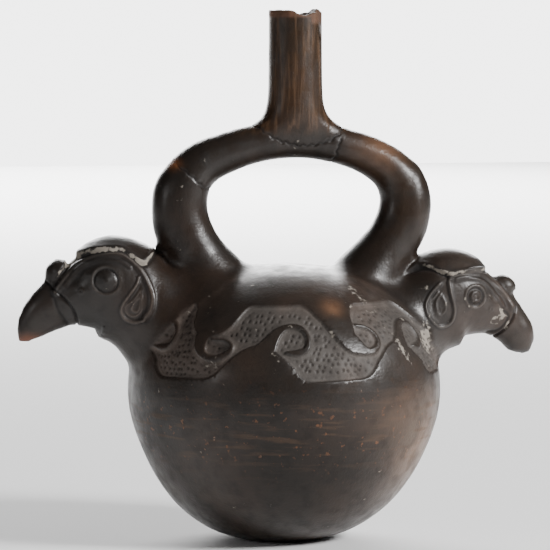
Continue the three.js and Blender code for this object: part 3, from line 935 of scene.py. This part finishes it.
def coloured(points, masks):
    """Base colour of each point, and its shares of deposit, wear, streaks and lost gloss."""
    x, y, z = points.T
    turn = np.degrees(np.arctan2(x, -y))
    shoulder = on_body(points)
    west, east = (to_head(points, HEADS[name]) for name in ("west", "east"))
    pipe = step(174, 182, z) * step(30, 22, np.abs(x - SPOUT_X))
    low = 1 - step(66, 76, z)
    front_lip = step(RIM_HEIGHT - 6.5, RIM_HEIGHT - 4, z) * (x > SPOUT_X + 5)
    broken = np.minimum(front_lip + step(RIM_HEIGHT - 3.2, RIM_HEIGHT - 2, z), 1)
    tint = np.tile(DARK_CLAY, (len(points), 1))
    for colour, share in (
        (WARM_CLAY, pipe),
        (BROWN_CLAY, 0.75 * spot(points, (44, -5, 169), (12, 12, 9))),
        (WARM_CLAY, 0.6 * spot(points, (52, -8, 150), (10, 14, 22))),
        (GREY_CLAY, 0.45 * step(62, 70, west[:, 0]) * (x < 0) * (z > 85)),
        (WARM_GREY, 0.75 * step(62, 70, east[:, 0]) * (x > 0) * (z > 80)),
        (RED_CLAY, 0.8 * spot(points, (-112.5, 0, 88.5), (6, 6, 2.6))),
        (WORN_CLAY, low * (1 - step(20, 34, z)) * 0.4),
        (PALE_BROWN, low * 0.9 * spot(points, (50, -34, 42), (15, 22, 24))),
        (BROWN_CLAY, low * 0.5 * spot(points, (36, -50, 58), (16, 20, 12))),
        (WORN_CLAY, low * 0.5 * spot(points, (-45, -45, 40), (18, 20, 20))),
        # Lighter grey over the shoulder; the extra lightening towards the right front, the side the key lamp
        # faces, is painted light.
        (WARM_GREY, shoulder * step(66, 80, z) * (0.5 + 0.4 * step(15, 50, turn))),
        (GROUND_CLAY, masks["ground"]),
        # Painted shade: the stipple pits are darkened back towards the dark clay.
        (DARK_CLAY, 0.7 * masks["pit"]),
        # Painted highlight along the raised rim at the tongues' edges.
        (EDGE_HIGHLIGHT_AND_WEAR, 0.35 * masks["rim"]),
        (BROWN_CLAY, 0.9 * spot(points, (10.4, -48.2, 103.3), (4, 6, 4))),
        (GROOVE_SHADE, 0.75 * masks["groove"]),
        # The heads' raised lines: painted highlight, partly pale wear.
        (EDGE_HIGHLIGHT_AND_WEAR, 0.5 * masks["ridge"]),
        (CORE_CLAY, 0.8 * broken),
        (CRACK_SHADE, 0.85 * masks["crack"]),
        (ORANGE_CLAY, 0.9 * spot(points, (-49.5, -2, 163.6), (2.6, 6, 2.4))),
    ):
        tint = blend(tint, colour, share)

    tongue_ridge = np.array([(22, 110), (31, 101), (38, 90), (42, 82)])
    deposit = 0.9 * masks["chalk"]
    for share in (
        0.75 * spot(points, (57, -20, 88), (10, 22, 13)),
        0.5 * bump(line_distance(points[:, [0, 2]], tongue_ridge), 3.4) * (y < 0),
        0.45 * spot(points, (-36, -48, 80), (14, 16, 6)),
        0.4 * spot(points, (38, -8, 116), (10, 14, 9)),
        0.35 * spot(points, (-42, -10, 116), (12, 14, 9)),
        0.3 * masks["ground"] * step(-10, -35, turn),
        0.25 * shoulder * step(72, 80, z),
        0.35 * spot(points, (3, -8, 173), (8, 8, 3)),
        0.12,
    ):
        deposit = np.maximum(deposit, share)
    wear = shoulder * bump(z - 52, 14)
    matte = np.maximum.reduce([masks["ground"], masks["groove"], 0.8 * masks["crack"], 0.9 * broken])
    return tint, {"deposit": deposit, "wear": wear, "streak": pipe, "matte": matte}


tint, shares = coloured(points, masks)
layer = vessel.data.attributes.new("tint", "FLOAT_COLOR", "POINT")
layer.data.foreach_set("color", np.column_stack([tint, np.ones(len(tint))]).astype(np.float32).ravel())
for key, value in shares.items():
    layer = vessel.data.attributes.new(key, "FLOAT", "POINT")
    layer.data.foreach_set("value", np.clip(value, 0, 1).astype(np.float32))

material = bpy.data.materials.new("blackware")
material.use_nodes = True
tree = material.node_tree
shader = tree.nodes["Principled BSDF"]


def linked(target, value):
    """Feeds an input from another node, or sets it."""
    if isinstance(value, bpy.types.NodeSocket):
        tree.links.new(value, target)
    else:
        target.default_value = value


def attribute(name, output="Fac"):
    node = tree.nodes.new("ShaderNodeAttribute")
    node.attribute_name = name
    return node.outputs[output]


def maths(operation, a, b):
    node = tree.nodes.new("ShaderNodeMath")
    node.operation = operation
    linked(node.inputs[0], a)
    linked(node.inputs[1], b)
    return node.outputs[0]


def grain(scale, detail, stretch=(1, 1, 1)):
    """Noise over the object's own coordinates, 0 to 1."""
    coords = tree.nodes.new("ShaderNodeTexCoord")
    mapping = tree.nodes.new("ShaderNodeMapping")
    mapping.inputs["Scale"].default_value = stretch
    noise = tree.nodes.new("ShaderNodeTexNoise")
    noise.inputs["Scale"].default_value = scale
    noise.inputs["Detail"].default_value = detail
    tree.links.new(coords.outputs["Object"], mapping.inputs["Vector"])
    tree.links.new(mapping.outputs["Vector"], noise.inputs["Vector"])
    return noise.outputs["Fac"]


def ramp(value, low, high, start=0.0, end=1.0):
    node = tree.nodes.new("ShaderNodeMapRange")
    node.interpolation_type = "SMOOTHSTEP"
    keys = ("Value", "From Min", "From Max", "To Min", "To Max")
    for key, given in zip(keys, (value, low, high, start, end)):
        linked(node.inputs[key], given)
    return node.outputs["Result"]


def mixed(share, a, b, mode="MIX"):
    node = tree.nodes.new("ShaderNodeMix")
    node.data_type = "RGBA"
    node.blend_type = mode
    linked(node.inputs["Factor"], share)
    linked(node.inputs["A"], a)
    linked(node.inputs["B"], b)
    return node.outputs["Result"]


clouds = grain(30, 6)
mottle = grain(150, 6)
fine = grain(900, 3)
streaks = grain(60, 4, (9, 9, 0.8))
scrapes = grain(45, 5, (1, 1, 9))
speckle = grain(420, 6)

def summed(total, parts):
    """Adds each value times its share."""
    for value, share in parts:
        total = maths("ADD", total, maths("MULTIPLY", value, share))
    return total


colour = attribute("tint", "Color")
colour = mixed(ramp(clouds, 0.4, 0.66, 0, 0.55), colour, mixed(1.0, colour, LIGHTER, "MULTIPLY"))
colour = mixed(ramp(mottle, 0.42, 0.7, 0, 0.6), colour, mixed(1.0, colour, DARKER, "MULTIPLY"))
streak = maths("MULTIPLY", attribute("streak"), ramp(streaks, 0.45, 0.7))
worn = maths("MULTIPLY", attribute("wear"), ramp(scrapes, 0.52, 0.68))
flecks = maths("MULTIPLY", attribute("wear"), ramp(speckle, 0.62, 0.7))
dust_limit = ramp(attribute("deposit"), 0, 1, 0.65, 0.42)
dust_noise = summed(maths("MULTIPLY", mottle, 0.5), [(speckle, 0.5)])
dust = ramp(dust_noise, dust_limit, maths("ADD", dust_limit, 0.09))
for share, strength, laid in (
    (streak, 0.6, BURNISH_STREAK), (worn, 0.4, WORN_STREAK), (flecks, 0.7, ORANGE_FLECK), (dust, 0.75, CHALK),
):
    colour = mixed(maths("MULTIPLY", share, strength), colour, laid)
linked(shader.inputs["Base Color"], colour)

gloss = ramp(mottle, 0.35, 0.7, 0.3, 0.46)
gloss = summed(gloss, [(attribute("matte"), 0.3), (dust, 0.25), (worn, 0.12)])
linked(shader.inputs["Roughness"], gloss)
shader.inputs["Specular IOR Level"].default_value = 0.38

height = maths("MULTIPLY", fine, 0.35)
height = summed(height, [(mottle, 0.7), (dust, 0.35), (streak, 0.25), (scrapes, 0.3)])
relief = tree.nodes.new("ShaderNodeBump")
relief.inputs["Strength"].default_value = 0.32
relief.inputs["Distance"].default_value = 0.0007
linked(relief.inputs["Height"], height)
linked(shader.inputs["Normal"], relief.outputs["Normal"])

vessel.data.materials.clear()
vessel.data.materials.append(material)
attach(vessel, "root")
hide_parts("vessel")

bpy.ops.mesh.primitive_plane_add(size=8)
floor = bpy.context.active_object
floor.name = "floor"
pale = bpy.data.materials.new("pale_floor")
pale.use_nodes = True
pale_shader = pale.node_tree.nodes["Principled BSDF"]
pale_shader.inputs["Base Color"].default_value = (0.95, 0.95, 0.95, 1)
pale_shader.inputs["Roughness"].default_value = 0.9
floor.data.materials.append(pale)

world = bpy.data.worlds.new("studio")
bpy.context.scene.world = world
world.use_nodes = True
# Bright behind the vessel, dim all round.
sky = world.node_tree
backdrop = sky.nodes["Background"]
backdrop.inputs["Color"].default_value = (1, 1, 1, 1)
where = sky.nodes.new("ShaderNodeTexCoord")
direction = sky.nodes.new("ShaderNodeSeparateXYZ")
bright = sky.nodes.new("ShaderNodeMapRange")
bright.interpolation_type = "SMOOTHSTEP"
for key, value in (("From Min", 0.86), ("From Max", 0.95), ("To Min", 0.05), ("To Max", 4.6)):
    bright.inputs[key].default_value = value
sky.links.new(where.outputs["Generated"], direction.inputs["Vector"])
sky.links.new(direction.outputs["Y"], bright.inputs["Value"])
sky.links.new(bright.outputs["Result"], backdrop.inputs["Strength"])


def area_light(name, place, target, size, power):
    data = bpy.data.lights.new(name, "AREA")
    data.shape = "DISK"
    data.size = size
    data.energy = power
    lamp = bpy.data.objects.new(name, data)
    bpy.context.scene.collection.objects.link(lamp)
    lamp.location = place
    lamp.rotation_euler = (Vector(target) - Vector(place)).to_track_quat("-Z", "Y").to_euler()


VESSEL_MIDDLE = (0, 0, 0.11)
area_light("key", (1.0, -0.8, 0.8), VESSEL_MIDDLE, 0.4, 32)
area_light("fill", (-1.4, -0.6, 0.5), VESSEL_MIDDLE, 0.5, 2.2)
area_light("backdrop_light", (0.3, 3.0, 1.0), (0.3, 2.6, 0), 2.8, 190)

VIEW_YAW = 12.0
VIEW_PITCH = 4.0
VIEW_DISTANCE = 1600.0
VIEW_HEIGHT = 115.0
VIEW_SHIFT = (3.9, 0.43)
yaw = math.radians(VIEW_YAW)
pitch = math.radians(VIEW_PITCH)
right = Vector((math.cos(yaw), -math.sin(yaw), 0))
ahead = Vector((math.sin(yaw) * math.cos(pitch), math.cos(yaw) * math.cos(pitch), -math.sin(pitch)))
up = right.cross(ahead)
aim = Vector((0, 0, VIEW_HEIGHT)) - VIEW_SHIFT[0] * right - VIEW_SHIFT[1] * up
camera_data = bpy.data.cameras.new("camera")
camera_data.sensor_width = 36
camera_data.lens = 241
camera_data.clip_start = 0.1
camera_data.clip_end = 50
camera = bpy.data.objects.new("camera", camera_data)
bpy.context.scene.collection.objects.link(camera)
camera.location = (aim - ahead * VIEW_DISTANCE) * MM
camera.rotation_euler = ahead.to_track_quat("-Z", "Y").to_euler()
bpy.context.scene.camera = camera
